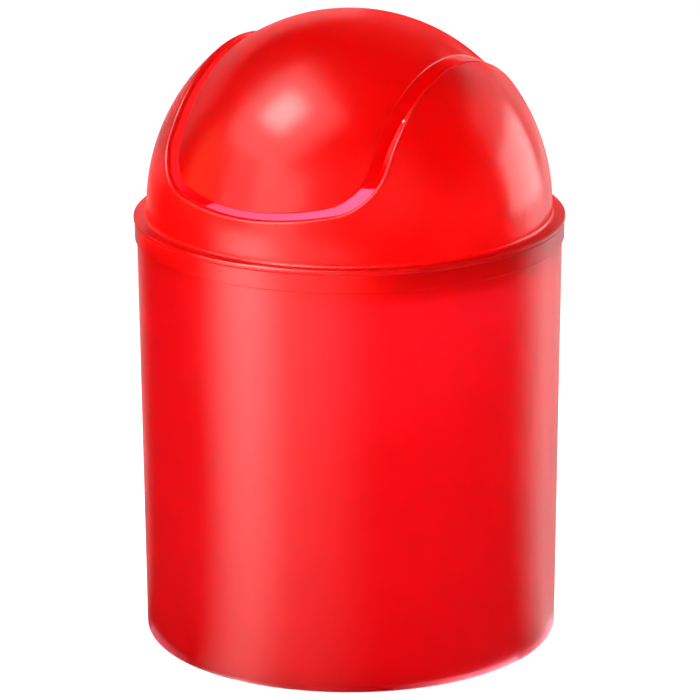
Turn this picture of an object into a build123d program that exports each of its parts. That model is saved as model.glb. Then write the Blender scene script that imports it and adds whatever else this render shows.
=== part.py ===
from build123d import *

import os
from math import sqrt

# Countertop trash can with a swing lid, made of three thin-walled plastic mouldings.
# The can stands on a narrow foot ring. The domed lid plugs into its mouth, and a tall arch is
# cut through the dome from front to back, which leaves an ear on each side. The flap fills
# that arch and swings on two pins moulded on its cheeks, which turn in the ears' webs.
# Millimetres, +Z up, origin at the centre of the can's base. The front is -Y, and the swing
# axis runs along X.

# Can
can_height = 133.3  # standing surface to the flat top of the rim
mouth_radius = 65.5  # outside of the wall, just under the collar
wall_draft = 1.5  # how much narrower the radius is at the standing surface
can_wall = 1.4
can_floor = 1.8
base_rounding = 2.7  # outer edge of the base
floor_rounding = 2.0  # inside corner between wall and floor
foot_width = 3.2  # flat of the foot ring
foot_height = 1.2  # how far the floor is pushed up inside the ring
gate_well_radius = 6.0  # shallow well under the floor, where the moulding is filled
gate_well_depth = 0.5
collar_height = 5.8  # thickened band round the mouth
collar_step = 0.7  # how far the collar stands proud of the wall
rim_bevel = 0.3  # edges along the parting line of can and lid

# Lid
dome_rise = 3.9  # centre of the dome above the can's rim
lid_wall = 1.2
flange_thickness = 1.3
flange_overhang = 0.3  # past the can's collar
flange_shelf = 4.05  # from the flange's edge in to the foot of the dome
dome_foot_rounding = 1.0  # where the dome meets the flange
skirt_depth = 8.5  # plug inside the can's mouth
skirt_wall = 1.2
skirt_clearance = 0.3  # between the skirt and the can's wall
skirt_lead = 0.5  # chamfer that guides the skirt into the mouth

# Arch through the dome, with heights above the dome's centre
arch_half_width = 37.6
arch_sill = 9.7
arch_sill_radius = 135.0
arch_corner = 13.0
arch_rounding = 1.0  # outer edge of the arch
land_width = 5.3  # thicker margin inside the dome, beside the arch
land_sill_width = 8.4  # the same margin under the sill
land_thickness = 0.8
gate_pad_width = 8.5  # raised pad inside the front wall, where the lid is filled
gate_pad_drop = 1.8  # top of the pad under the sill; its foot is level with the flange
gate_pad_thickness = 0.6  # proud of the land

# Flap
flap_running_gap = 0.3  # between the flap's outside and the land
flap_wall = 1.3
flap_side_gap = 4.2
flap_sill_gap = 1.7
flap_sill_radius = 115.0
flap_corner = 12.0
flap_rounding = 0.5  # outer edge of the flap
side_wall_depth = 7.0  # flat wall along each side edge of the flap, in line with the cheek

# Pivot
pivot_drop = 6.25  # swing axis under the ears' tops, just above the flap's centre of mass
pin_radius = 2.0
pin_clearance = 0.06  # radial, in the bearing hole
pin_protrusion = 0.4  # past the web
pin_lead = 0.5  # chamfer on the pin's tip
boss_radius = 3.2  # shoulder that keeps the flap in the middle
boss_clearance = 0.3
web_thickness = 1.6
cheek_thickness = 1.5
tab_radius = 6.5  # rounded end of webs and cheeks, about the pin
tab_root = 24.0  # width of webs and cheeks where they meet the skin

# Places worked out from the sizes above
pick_tolerance = 0.01
base_radius = mouth_radius - wall_draft
foot_outer = base_radius - base_rounding
foot_inner = foot_outer - foot_width
floor_top = foot_height + can_floor
collar_base = can_height - collar_height
collar_radius = mouth_radius + collar_step
flange_top = can_height + flange_thickness
flange_radius = collar_radius + flange_overhang
dome_centre = can_height + dome_rise
dome_foot = flange_radius - flange_shelf
dome_radius = sqrt(dome_foot**2 + (dome_centre - flange_top) ** 2)
dome_inside = dome_radius - lid_wall
land_radius = dome_inside - land_thickness
skirt_base = can_height - skirt_depth
web_face = arch_half_width + web_thickness
ear_top = sqrt(dome_radius**2 - arch_half_width**2)
pivot_height = dome_centre + ear_top - pivot_drop
flap_radius = land_radius - flap_running_gap
flap_half_width = arch_half_width - flap_side_gap
dome_plane = Plane(origin=(0, 0, dome_centre), x_dir=(1, 0, 0), z_dir=(0, -1, 0))


def can_inside(height):
    """Inside radius of the can's leaning wall at a height above the standing surface."""
    return base_radius + wall_draft * height / collar_base - can_wall


def skirt_outside(height):
    """Outside radius of the lid's skirt, which leans with the can's wall."""
    return can_inside(height) - skirt_clearance


def corner_at(section, radius, height):
    """Corner of a section that lies at a radius and a height."""
    return section.vertices().sort_by_distance((radius, height))[0]


def arch_outline(half_width, sill, sill_radius, corner):
    """Tall outline with a bowed sill and round lower corners, that runs out above the dome."""
    side_foot = sill + sill_radius - sqrt(sill_radius**2 - half_width**2)
    top = dome_radius + lid_wall
    with BuildSketch() as outline:
        with BuildLine():
            ThreePointArc((-half_width, side_foot), (0, sill), (half_width, side_foot))
            Polyline(
                (half_width, side_foot),
                (half_width, top),
                (-half_width, top),
                (-half_width, side_foot),
            )
        make_face()
        fillet(outline.vertices().group_by(Axis.Y)[0], corner)
    return outline.sketch


def add_dome_skin(outer_radius, inner_radius):
    """Add a hemispherical skin about the dome's centre to the part that is being built."""
    with BuildSketch(dome_plane) as section:
        with BuildLine():
            CenterArc((0, 0), outer_radius, 0, 90)
            Line((0, outer_radius), (0, inner_radius))
            CenterArc((0, 0), inner_radius, 0, 90)
            Line((inner_radius, 0), (outer_radius, 0))
        make_face()
    revolve(section.sketch, axis=Axis.Z)


def add_side_walls(near, far, depth):
    """Add a flat wall each side that hangs from the flap's skin along the whole edge."""
    edge_radius = sqrt(flap_radius**2 - flap_half_width**2)
    for side in (1, -1):
        with BuildSketch(Plane.YZ.offset(side * near)) as wall:
            with Locations((0, dome_centre)):
                Circle(flap_radius)
                Circle(edge_radius - depth, mode=Mode.SUBTRACT)
            with Locations((0, dome_centre + arch_sill + flap_radius / 2)):
                Rectangle(2 * flap_radius, flap_radius, mode=Mode.INTERSECT)
        extrude(wall.sketch, amount=side * (far - near))


def add_pivot_tabs(near, far, skin_radius):
    """Add a tab each side that hangs from a dome skin and is rounded about the swing axis."""
    for side in (1, -1):
        with BuildSketch(Plane.YZ.offset(side * near)) as tab:
            with Locations((0, pivot_height)):
                Circle(tab_radius)
            with Locations((0, dome_centre + dome_radius)):
                Rectangle(tab_root, tab_radius)
            make_hull()
        extrude(tab.sketch, amount=side * (far - near))
    with Locations((0, 0, dome_centre)):
        Sphere(skin_radius, mode=Mode.INTERSECT)


def outer_edges(part, radius, half_width):
    """Edges where a part's arch outline meets the outside of its dome."""
    centre = Vector(0, 0, dome_centre)

    def is_outer(edge):
        middle = edge @ 0.5
        on_dome = abs((middle - centre).length - radius) < pick_tolerance
        in_outline = abs(middle.X) < half_width + pick_tolerance
        is_seam = max(abs((edge @ 0).Y), abs((edge @ 1).Y)) < pick_tolerance
        return on_dome and in_outline and not is_seam

    return part.edges().filter_by(is_outer)


opening_outline = arch_outline(arch_half_width, arch_sill, arch_sill_radius, arch_corner)
land_outline = arch_outline(
    arch_half_width + land_width,
    arch_sill - land_sill_width,
    arch_sill_radius + land_sill_width,
    arch_corner,
)
flap_outline = arch_outline(
    flap_half_width,
    arch_sill + flap_sill_gap,
    flap_sill_radius,
    flap_corner,
)

# Can: a leaning wall on a pushed-up floor, with a thicker collar round the mouth.
with BuildPart() as can:
    with BuildSketch(Plane.XZ) as can_section:
        with BuildLine():
            Polyline(
                (0, foot_height + gate_well_depth),
                (gate_well_radius, foot_height + gate_well_depth),
                (gate_well_radius, foot_height),
                (foot_inner - foot_height, foot_height),
                (foot_inner, 0),
                (base_radius, 0),
                (mouth_radius, collar_base),
                (collar_radius, collar_base),
                (collar_radius, can_height),
                (can_inside(can_height), can_height),
                (can_inside(floor_top), floor_top),
                (0, floor_top),
                close=True,
            )
        make_face()
        fillet(corner_at(can_section, base_radius, 0), base_rounding)
        fillet(corner_at(can_section, can_inside(floor_top), floor_top), floor_rounding)
        chamfer(corner_at(can_section, collar_radius, collar_base), rim_bevel)
        chamfer(corner_at(can_section, collar_radius, can_height), rim_bevel)
    revolve(axis=Axis.Z)

can.part.label = "can"
os.makedirs("parts", exist_ok=True)
export_step(can.part, "parts/can.step")

# Lid: the dome with its flange and plug skirt, a thicker land round the arch, and a web with
# a bearing hole inside each ear.
with BuildPart() as lid:
    add_pivot_tabs(flap_half_width, web_face, land_radius + land_thickness / 2)
    add_dome_skin(dome_radius - lid_wall / 2, land_radius)
    with BuildSketch(dome_plane):
        add(land_outline)
    extrude(amount=dome_radius, both=True, mode=Mode.INTERSECT)

    with BuildSketch(Plane.XZ.offset(land_radius - gate_pad_thickness)):
        gate_pad_height = dome_centre + arch_sill - gate_pad_drop - flange_top
        with Locations((0, flange_top)):
            Rectangle(gate_pad_width, gate_pad_height, align=(Align.CENTER, Align.MIN))
    extrude(amount=gate_pad_thickness + land_thickness + lid_wall / 4)

    with BuildSketch(Plane.XZ) as lid_section:
        with BuildLine():
            ThreePointArc(
                (dome_foot, flange_top),
                (dome_radius / sqrt(2), dome_centre + dome_radius / sqrt(2)),
                (0, dome_centre + dome_radius),
            )
            Line((0, dome_centre + dome_radius), (0, dome_centre + dome_inside))
            CenterArc((0, dome_centre), dome_inside, 0, 90)
            Polyline(
                (dome_inside, dome_centre),
                (dome_inside, can_height),
                (skirt_outside(can_height) - skirt_wall, can_height),
                (skirt_outside(skirt_base) - skirt_wall, skirt_base),
                (skirt_outside(skirt_base), skirt_base),
                (skirt_outside(can_height), can_height),
                (flange_radius, can_height),
                (flange_radius, flange_top),
                (dome_foot, flange_top),
            )
        make_face()
        fillet(corner_at(lid_section, dome_foot, flange_top), dome_foot_rounding)
        chamfer(corner_at(lid_section, flange_radius, flange_top), rim_bevel)
        chamfer(corner_at(lid_section, flange_radius, can_height), rim_bevel)
        chamfer(corner_at(lid_section, skirt_outside(skirt_base), skirt_base), skirt_lead)
    revolve(axis=Axis.Z)

    with BuildSketch(dome_plane):
        add(opening_outline)
    extrude(amount=dome_radius, both=True, mode=Mode.SUBTRACT)
    fillet(outer_edges(lid, dome_radius, arch_half_width), arch_rounding)

    with BuildSketch(Plane.YZ):
        with Locations((0, pivot_height)):
            Circle(pin_radius + pin_clearance)
    extrude(amount=web_face + pin_clearance, both=True, mode=Mode.SUBTRACT)

lid.part.label = "lid"
export_step(lid.part, "parts/lid.step")

# Flap: a slice of a slightly smaller dome that follows the arch at a gap, with a flat wall
# along each side that widens into a cheek and carries a shouldered pin.
with BuildPart() as flap:
    cheek_inside = flap_half_width - cheek_thickness
    add_side_walls(cheek_inside, flap_half_width, side_wall_depth)
    add_pivot_tabs(cheek_inside, flap_half_width, flap_radius - flap_wall / 2)
    add_dome_skin(flap_radius, flap_radius - flap_wall)
    with BuildSketch(dome_plane):
        add(flap_outline)
    extrude(amount=dome_radius, both=True, mode=Mode.INTERSECT)
    fillet(outer_edges(flap, flap_radius, flap_half_width), flap_rounding)

    for side in (1, -1):
        with BuildSketch(Plane.YZ.offset(side * flap_half_width)):
            with Locations((0, pivot_height)):
                Circle(boss_radius)
        extrude(amount=side * (flap_side_gap - boss_clearance))
        with BuildSketch(Plane.YZ.offset(side * flap_half_width)):
            with Locations((0, pivot_height)):
                Circle(pin_radius)
        extrude(amount=side * (flap_side_gap + web_thickness + pin_protrusion))
    pin_tips = flap.edges().filter_by(GeomType.CIRCLE).sort_by(Axis.X)
    chamfer([pin_tips[0], pin_tips[-1]], pin_lead)

flap.part.label = "flap"
export_step(flap.part, "parts/flap.step")
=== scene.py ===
import math

import bpy
from mathutils import Matrix, Vector

# Countertop trash can with a swing lid: three mouldings in translucent red plastic.
# Metres, degrees and watts, +Z up. The front is -Y, and the flap swings about X.

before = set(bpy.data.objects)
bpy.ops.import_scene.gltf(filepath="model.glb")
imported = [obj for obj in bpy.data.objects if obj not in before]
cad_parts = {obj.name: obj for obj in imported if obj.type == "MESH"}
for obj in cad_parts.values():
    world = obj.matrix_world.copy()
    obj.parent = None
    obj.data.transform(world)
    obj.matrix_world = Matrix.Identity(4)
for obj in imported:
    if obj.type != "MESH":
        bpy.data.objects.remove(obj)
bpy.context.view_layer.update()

# The camera stands to the right of the front and looks down at the middle of the can
VIEW_AZIMUTH = 31.5
VIEW_ELEVATION = 17.02
VIEW_DISTANCE = 1.596
VIEW_TARGET = Vector((0.0, 0.0, 0.0900))
VIEW_ROLL = -0.22
LENS = 264.3
SENSOR = 36.0

# The moulded colour at its deepest and its brightest, and on a chafed edge
DEEP_RED = (0.82, 0.0015, 0.0008, 1)
BRIGHT_RED = (0.88, 0.0030, 0.0012, 1)
WORN_RED = (0.92, 0.045, 0.040, 1)
EDGE_RADIUS = 0.0004

# What one surface lets through: the can's wall passes a crimson light, the lid and the flap a
# redder one
CAN_GLOW = (1.0, 0.25, 0.37, 1)
LID_GLOW = (1.0, 0.13, 0.14, 1)
SEE_THROUGH_SHARE = 0.60

# The satin surface: how rough it is, how much rougher on a chafed edge and smoother in a
# hairline, and how high its relief stands
PLASTIC_IOR = 1.50
SMOOTHEST = 0.19
ROUGHEST = 0.262
CHAFE_ROUGHER = 0.16
HAIRLINE_SMOOTHER = 0.04
WAVE_HEIGHT = 0.0004
SKIN_HEIGHT = 0.00002
HAIRLINE_HEIGHT = 0.00001

# The can's surface begins and ends on its +X side, where the normals of its mesh take a step:
# the length of a facet there, and how far the normal leans at the seam
SEAM_FACET = 0.00485
SEAM_STEP = 0.0374

# The floor: its grey, the darker grey that the gloss meets, and how white the camera sees it
# beside the can and far from it; beside the can the white is painted dimmer, a painted shade round
# the foot
FLOOR_SIZE = 12.0
FLOOR_GREY = (0.20, 0.20, 0.20, 1)
FLOOR_IN_GLOSS = (0.02, 0.02, 0.02, 1)
FLOOR_PAINTED_SHADE_WHITE = 0.94
WHITE_FAR = 1.0
WHITE_BEGINS = 0.15
WHITE_ENDS = 0.60
WORLD_LEVEL = 0.02

# Bright cards that lie on the floor. A band card starts under the can and runs outwards, and a
# foot card is a narrow ring round the foot.
CARD_LIFT = 0.0005
CARD_FADE = 0.30
BAND_START = 0.055
BAND_REACH = 1.2
BAND_STEPS = 16
FOOT_START = 0.0617
FOOT_END = 0.0687
FOOT_STEPS = 12
FOOT_NEAR = 0.05

WHITE = (1, 1, 1, 1)
PINK = (1.0, 0.36, 0.48, 1)
WARM = (1.0, 0.85, 0.30, 1)


def direction(azimuth, elevation):
    """Unit vector towards a place round the can, with azimuth 0 at the front."""
    az = math.radians(azimuth)
    el = math.radians(elevation)
    return Vector((math.sin(az) * math.cos(el), -math.cos(az) * math.cos(el), math.sin(el)))


def add_camera():
    data = bpy.data.cameras.new("camera")
    data.lens = LENS
    data.sensor_width = SENSOR
    camera = bpy.data.objects.new("camera", data)
    bpy.context.collection.objects.link(camera)
    away = direction(VIEW_AZIMUTH, VIEW_ELEVATION)
    camera.location = VIEW_TARGET + VIEW_DISTANCE * away
    turn = (-away).to_track_quat("-Z", "Y").to_matrix().to_4x4()
    roll = Matrix.Rotation(math.radians(VIEW_ROLL), 4, "Z")
    camera.rotation_euler = (turn @ roll).to_euler()
    bpy.context.scene.camera = camera


class Nodes:
    """A node tree, with short calls to add nodes and join them."""

    def __init__(self, tree, shift=(0, 0, 0)):
        self.tree = tree
        self.shift = shift

    def find(self, name):
        return self.tree.nodes[name]

    def add(self, kind, **values):
        """A new node. A value goes to the node's own setting, or else to the socket of that name."""
        node = self.tree.nodes.new(kind)
        for key, value in values.items():
            if hasattr(node, key):
                setattr(node, key, value)
            else:
                node.inputs[key.replace("_", " ")].default_value = value
        return node

    def put(self, value, socket):
        """Joins an output to a socket, or writes a plain value on it."""
        if hasattr(value, "is_output"):
            self.tree.links.new(value, socket)
        else:
            socket.default_value = value

    def place(self, kind="Object"):
        return self.add("ShaderNodeTexCoord").outputs[kind]

    def light_path(self, kind):
        return self.add("ShaderNodeLightPath").outputs[kind]

    def split(self, vector):
        node = self.add("ShaderNodeSeparateXYZ")
        self.put(vector, node.inputs[0])
        return node.outputs

    def noise(self, scale, detail, roughness=0.55, stretch=(1, 1, 1), turn=(0, 0, 0)):
        mapping = self.add("ShaderNodeMapping", Location=self.shift, Rotation=turn, Scale=stretch)
        self.put(self.place(), mapping.inputs["Vector"])
        noise = self.add("ShaderNodeTexNoise", Scale=scale, Detail=detail, Roughness=roughness)
        self.put(mapping.outputs["Vector"], noise.inputs["Vector"])
        return noise.outputs["Fac"]

    def remap(self, value, low, high, to_low, to_high):
        node = self.add(
            "ShaderNodeMapRange", From_Min=low, From_Max=high, To_Min=to_low, To_Max=to_high
        )
        self.put(value, node.inputs["Value"])
        return node.outputs["Result"]

    def maths(self, operation, a, b):
        node = self.add("ShaderNodeMath", operation=operation)
        self.put(a, node.inputs[0])
        self.put(b, node.inputs[1])
        return node.outputs[0]

    def vectors(self, operation, a, b=(0, 0, 0)):
        node = self.add("ShaderNodeVectorMath", operation=operation)
        self.put(a, node.inputs[0])
        self.put(b, node.inputs[1])
        return node.outputs

    def blend(self, share, a, b):
        node = self.add("ShaderNodeMix", data_type="RGBA")
        self.put(share, node.inputs[0])
        self.put(a, node.inputs[6])
        self.put(b, node.inputs[7])
        return node.outputs[2]

    def bump(self, height, distance, strength, normal=None):
        node = self.add("ShaderNodeBump", Distance=distance, Strength=strength)
        self.put(height, node.inputs["Height"])
        if normal is not None:
            self.put(normal, node.inputs["Normal"])
        return node.outputs["Normal"]

    def normal(self):
        return self.add("ShaderNodeNewGeometry").outputs["Normal"]

    def edges(self, radius, low, high):
        """1 on convex edges, falling to 0 on the faces beside them."""
        rounded = self.add("ShaderNodeBevel", samples=4, Radius=radius).outputs["Normal"]
        facing = self.vectors("DOT_PRODUCT", rounded, self.normal())["Value"]
        return self.remap(facing, low, high, 0.0, 1.0)


def new_material(name, shift=(0, 0, 0)):
    material = bpy.data.materials.new(name)
    material.use_nodes = True
    return material, Nodes(material.node_tree, shift)


def one_way_hairlines(n, turn, thin):
    """Sparse hairlines that run one way, as a value from 0 to 1."""
    lines = n.noise(scale=260.0, detail=2.0, roughness=0.5, stretch=(1.0, 0.05, 1.0), turn=turn)
    patches = n.noise(scale=30.0, detail=1.0)
    here = n.remap(patches, 0.52, 0.66, 0.0, 1.0)
    return n.maths("MULTIPLY", n.remap(lines, thin, thin + 0.06, 0.0, 1.0), here)


def even_seam(n):
    """The surface normal, with the step at the can's +X seam spread over the facets beside it."""
    place = n.split(n.place())
    normal = n.normal()
    beside = n.maths("ABSOLUTE", place["Y"], 0.0)
    lean = n.remap(beside, 0.0, SEAM_FACET, SEAM_STEP, 0.0)
    lean = n.maths("MULTIPLY", lean, n.maths("GREATER_THAN", place["X"], 0.0))
    lean = n.maths("MULTIPLY", lean, n.maths("SIGN", place["Y"], 0.0))
    turn = n.add("ShaderNodeCombineXYZ")
    n.put(n.maths("MULTIPLY", lean, n.split(normal)["X"]), turn.inputs["Y"])
    return n.vectors("SUBTRACT", normal, turn.outputs[0])["Vector"]


def red_plastic(name, shift, see_through, has_seam):
    """Satin red plastic that light comes through, with chafed edges and a few hairlines."""
    material, n = new_material(name, shift)
    shader = n.find("Principled BSDF")

    drift = n.remap(n.noise(scale=14.0, detail=2.0), 0.35, 0.65, 0.0, 1.0)
    chafe = n.remap(n.noise(scale=180.0, detail=4.0), 0.42, 0.62, 0.0, 0.6)
    worn = n.maths("MULTIPLY", n.edges(EDGE_RADIUS, 0.97, 0.86), chafe)
    colour = n.blend(worn, n.blend(drift, DEEP_RED, BRIGHT_RED), WORN_RED)
    n.put(colour, shader.inputs["Base Color"])

    one_way = one_way_hairlines(n, turn=(0.3, 0.2, 0.5), thin=0.66)
    other_way = one_way_hairlines(n, turn=(1.1, 0.4, 2.0), thin=0.67)
    hairlines = n.maths("MAXIMUM", one_way, other_way)
    smear = n.remap(n.noise(scale=42.0, detail=4.0), 0.3, 0.7, SMOOTHEST, ROUGHEST)
    rough = n.maths("ADD", smear, n.maths("MULTIPLY", worn, CHAFE_ROUGHER))
    rough = n.maths("SUBTRACT", rough, n.maths("MULTIPLY", hairlines, HAIRLINE_SMOOTHER))
    n.put(rough, shader.inputs["Roughness"])

    waves = n.noise(scale=22.0, detail=1.0)
    skin = n.noise(scale=2600.0, detail=2.0)
    relief = n.bump(waves, WAVE_HEIGHT, 0.25, even_seam(n) if has_seam else None)
    relief = n.bump(skin, SKIN_HEIGHT, 0.35, relief)
    relief = n.bump(hairlines, HAIRLINE_HEIGHT, 0.3, relief)
    n.put(relief, shader.inputs["Normal"])

    shader.inputs["IOR"].default_value = PLASTIC_IOR
    shader.inputs["Specular IOR Level"].default_value = 0.5
    glow = n.add("ShaderNodeBsdfTranslucent", Color=see_through)
    mix = n.add("ShaderNodeMixShader", Fac=SEE_THROUGH_SHARE)
    n.put(shader.outputs[0], mix.inputs[1])
    n.put(glow.outputs[0], mix.inputs[2])
    n.put(mix.outputs[0], n.find("Material Output").inputs["Surface"])
    return material


def dress_mouldings():
    """Gives each moulding its plastic, with the pattern shifted so that no two are alike."""
    finishes = (
        ("can", (0, 0, 0), CAN_GLOW, True),
        ("lid", (0.31, 0.17, 0.05), LID_GLOW, False),
        ("flap", (0.12, 0.43, 0.27), LID_GLOW, False),
    )
    for node, shift, see_through, has_seam in finishes:
        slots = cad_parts[node].data.materials
        slots.clear()
        slots.append(red_plastic(node + " plastic", shift, see_through, has_seam))


def add_floor():
    """White paper for the camera, painted dimmer near the can as a painted shade, and a plain grey
    for the plastic above it.
    """
    bpy.ops.object.select_all(action="DESELECT")
    bpy.ops.mesh.primitive_plane_add(size=FLOOR_SIZE, location=(0, 0, 0))
    floor = bpy.context.object
    floor.name = "floor"
    material, n = new_material("floor paper")
    shader = n.find("Principled BSDF")
    shader.inputs["Roughness"].default_value = 0.8
    shader.inputs["Specular IOR Level"].default_value = 0.0
    shader.inputs["Emission Color"].default_value = WHITE
    paper = n.blend(n.light_path("Is Glossy Ray"), FLOOR_GREY, FLOOR_IN_GLOSS)
    n.put(paper, shader.inputs["Base Color"])
    away = n.vectors("LENGTH", n.place())["Value"]
    # Painted shade: the camera's white is dimmer near the can, so the floor there is greyer under
    # any light
    white = n.remap(away, WHITE_BEGINS, WHITE_ENDS, FLOOR_PAINTED_SHADE_WHITE, WHITE_FAR)
    lift = n.maths("MULTIPLY", n.light_path("Is Camera Ray"), white)
    n.put(lift, shader.inputs["Emission Strength"])
    floor.data.materials.append(material)


def add_world():
    """White behind the can for the camera, and a faint even light for all else."""
    world = bpy.data.worlds.new("studio")
    bpy.context.scene.world = world
    world.use_nodes = True
    n = Nodes(world.node_tree)
    background = n.find("Background")
    background.inputs["Color"].default_value = WHITE
    level = n.remap(n.light_path("Is Camera Ray"), 0.0, 1.0, WORLD_LEVEL, 1.0)
    n.put(level, background.inputs["Strength"])


def card_glow(name, stops, strength, near, colour):
    """Light that follows the stops along a card, and grows from its near edge outwards."""
    material, n = new_material(name)
    n.tree.nodes.remove(n.find("Principled BSDF"))
    across = n.split(n.place("UV"))
    ramp = n.add("ShaderNodeValToRGB")
    ramp.color_ramp.interpolation = "EASE"
    for i, (place, level) in enumerate(stops):
        stop = ramp.color_ramp.elements[i] if i < 2 else ramp.color_ramp.elements.new(place)
        stop.position = place
        stop.color = (level, level, level, 1)
    n.put(across["X"], ramp.inputs["Fac"])
    fade = n.remap(across["Y"], 0.0, CARD_FADE, near * strength, strength)
    glow = n.add("ShaderNodeEmission", Color=colour)
    n.put(n.maths("MULTIPLY", ramp.outputs["Color"], fade), glow.inputs["Strength"])
    n.put(glow.outputs[0], n.find("Material Output").inputs["Surface"])
    return material


def add_card(name, near_edge, far_edge, stops, strength, near, colour):
    """A bright card on the floor that is seen only in the gloss."""
    verts = []
    places = []
    steps = len(near_edge) - 1
    for i, pair in enumerate(zip(near_edge, far_edge)):
        for side, spot in enumerate(pair):
            verts.append((spot.x, spot.y, CARD_LIFT))
            places.append((i / steps, side))
    faces = [(2 * i, 2 * i + 2, 2 * i + 3, 2 * i + 1) for i in range(steps)]
    mesh = bpy.data.meshes.new(name)
    mesh.from_pydata(verts, [], faces)
    layer = mesh.uv_layers.new(name="across")
    for loop in mesh.loops:
        layer.data[loop.index].uv = places[loop.vertex_index]
    card = bpy.data.objects.new(name, mesh)
    bpy.context.collection.objects.link(card)
    mesh.materials.append(card_glow(name, stops, strength, near, colour))
    card.visible_camera = False
    card.visible_diffuse = False
    card.visible_shadow = False
    card.visible_transmission = False


def even_turns(first, last, steps):
    return [first + (last - first) * i / steps for i in range(steps + 1)]


def add_band_card(name, first, last, stops, strength, near):
    """A card that the upright wall mirrors as an upright band from one turn to another."""
    turns = even_turns(first, last, BAND_STEPS)
    start = [BAND_START * direction(VIEW_AZIMUTH + turn, 0) for turn in turns]
    end = [
        spot + BAND_REACH * direction(VIEW_AZIMUTH + 2 * turn, 0)
        for spot, turn in zip(start, turns)
    ]
    add_card(name, start, end, stops, strength, near, WHITE)


def add_foot_card(name, first, last, stops, strength):
    """A narrow card beside the foot, which the rounding under the wall mirrors as a thin line."""
    turns = even_turns(first, last, FOOT_STEPS)
    start = [FOOT_START * direction(VIEW_AZIMUTH + turn, 0) for turn in turns]
    end = [FOOT_END * direction(VIEW_AZIMUTH + turn, 0) for turn in turns]
    add_card(name, start, end, stops, strength, FOOT_NEAR, PINK)


def add_lamp(name, turn, elevation, distance, size, power, aim, spread, colour, mirrored):
    """A lamp that stands a turn to the right of the camera and points at the axis, at height aim."""
    data = bpy.data.lights.new(name, "AREA")
    data.color = colour[:3]
    data.shape = "RECTANGLE"
    data.size, data.size_y = size
    data.energy = power
    data.spread = math.radians(spread)
    lamp = bpy.data.objects.new(name, data)
    bpy.context.collection.objects.link(lamp)
    target = Vector((0, 0, aim))
    lamp.location = target + distance * direction(VIEW_AZIMUTH + turn, elevation)
    lamp.rotation_euler = (target - lamp.location).to_track_quat("-Z", "Y").to_euler()
    lamp.visible_camera = False
    lamp.visible_glossy = mirrored
    lamp.visible_diffuse = not mirrored
    lamp.visible_transmission = not mirrored


def add_fill(name, turn, elevation, distance, size, power, aim, spread=180):
    """A lamp that lights the plastic and isn't mirrored in it."""
    add_lamp(name, turn, elevation, distance, size, power, aim, spread, WHITE, mirrored=False)


def add_sheen(name, turn, elevation, distance, size, power, aim=0.1, colour=WHITE):
    """A lamp that is only mirrored in the plastic."""
    add_lamp(name, turn, elevation, distance, size, power, aim, 180, colour, mirrored=True)


dress_mouldings()
add_camera()
add_floor()
add_world()

# From the front, weak; the rim strip is a thin sheet of light along the rim
add_fill("front left", -28, 15, 0.60, (0.45, 0.45), 0.80, aim=0.14, spread=90)
add_fill("front", 20, 18, 0.60, (0.45, 0.45), 0.30, aim=0.15, spread=80)
add_fill("right", 60, 5, 0.55, (0.35, 0.35), 0.055, aim=0.07, spread=60)
add_fill("rim strip", -74, 10, 0.50, (0.30, 0.01), 0.088, aim=0.130, spread=4)

# From behind, strong: these make the plastic glow
add_fill("behind low", 176, 14, 0.40, (0.22, 0.22), 3.8, aim=0.12, spread=120)
add_fill("behind high", 162, 30, 0.60, (0.40, 0.30), 2.0, aim=0.17)

# The spot on the flap, with its halo and the paler area below it
add_sheen("left strip", -42, 14, 1.0, (0.50, 0.60), 4.0)
add_sheen("left panel", -66, 20, 1.0, (0.54, 0.54), 2.75)
add_sheen("left warm", -99, 14, 1.0, (0.40, 0.50), 0.85, colour=WARM)
add_sheen("left top", -71, 56, 0.9, (0.30, 0.30), 6.2, aim=0.137)
add_sheen("left halo", -69, 54, 0.9, (0.85, 0.80), 10.7, aim=0.137)

# The broad sheen on the right ear, and the edges of both ears
add_sheen("right edge", 118, 6, 1.0, (0.64, 0.42), 7.0)
add_sheen("right rim", 152, 5, 1.0, (0.36, 0.40), 0.6)
add_sheen("right high", 124, 27, 1.0, (0.80, 0.38), 1.5)
add_sheen("left edge", -155, 12, 1.0, (1.00, 0.62), 1.2)

# The upright bands on the can: pairs of place along the card and brightness
left_stops = ((0.0, 0.0), (1.0, 0.0), (0.31, 1.0), (0.57, 0.25))
right_stops = ((0.0, 0.0), (1.0, 0.25), (0.40, 1.0), (0.62, 0.5))
far_left_stops = ((0.0, 1.0), (1.0, 0.0))
add_band_card("left card", -46, 8, left_stops, 11.2, near=0.40)
add_band_card("right card", 47, 90, right_stops, 3.6, near=0.70)
add_band_card("far left card", -90, -68, far_left_stops, 1.4, near=1.0)

# The pink line round the foot
left_foot_stops = ((0.0, 0.8), (1.0, 0.0), (0.4, 1.0))
right_foot_stops = ((0.0, 0.0), (1.0, 0.6), (0.33, 0.9), (0.75, 1.0))
add_foot_card("left foot card", -96, -36, left_foot_stops, 3.0)
add_foot_card("right foot card", 8, 96, right_foot_stops, 21.0)

bpy.context.scene.view_settings.view_transform = "Standard"
